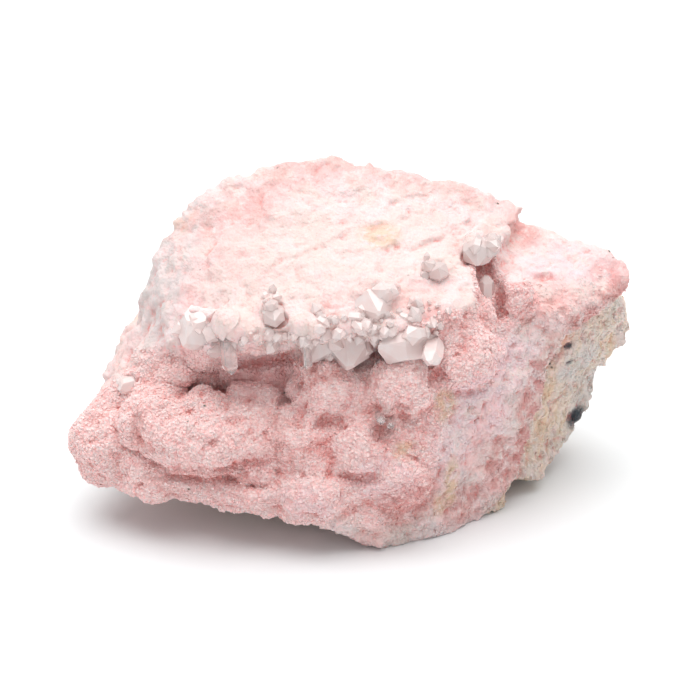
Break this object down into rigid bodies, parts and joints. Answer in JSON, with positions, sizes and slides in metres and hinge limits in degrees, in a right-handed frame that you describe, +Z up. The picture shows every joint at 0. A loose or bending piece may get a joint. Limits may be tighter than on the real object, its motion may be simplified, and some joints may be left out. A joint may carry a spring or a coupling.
{
  "type": "rhodochrosite specimen",
  "caption": "Hand-sized lump of pink druse-coated rhodochrosite on pale wall rock, with a ledge over a recess and clear quartz crystals along it.",
  "frame": {"origin": "middle of the bounding box's underside, on the surface the specimen rests on", "axes": "+X along the specimen's length towards its horn-shaped corner, -Y towards its druse-coated show side, +Z up"},
  "size_m": [0.0996, 0.0602, 0.06],
  "materials": {
    "rock": "matt, sugary pink druse and broken pale rock",
    "quartz": "clear to slightly cloudy crystal"
  },
  "bodies": {
    "root": {"rhodochrosite_rock": "rock", "quartz_hanging_point": "quartz", "quartz_sliver": "quartz", "quartz_centre_cluster": "quartz", "quartz_lip_knob": "quartz", "quartz_upper_block": "quartz", "quartz_right_blade": "quartz", "quartz_left_block": "quartz", "quartz_clear_knob": "quartz", "quartz_crest_block": "quartz", "quartz_cavity_crown": "quartz", "quartz_cavity_column": "quartz", "quartz_front_spark": "quartz", "quartz_front_spark_small": "quartz", "quartz_left_edge_block": "quartz"}
  },
  "joints": []
}
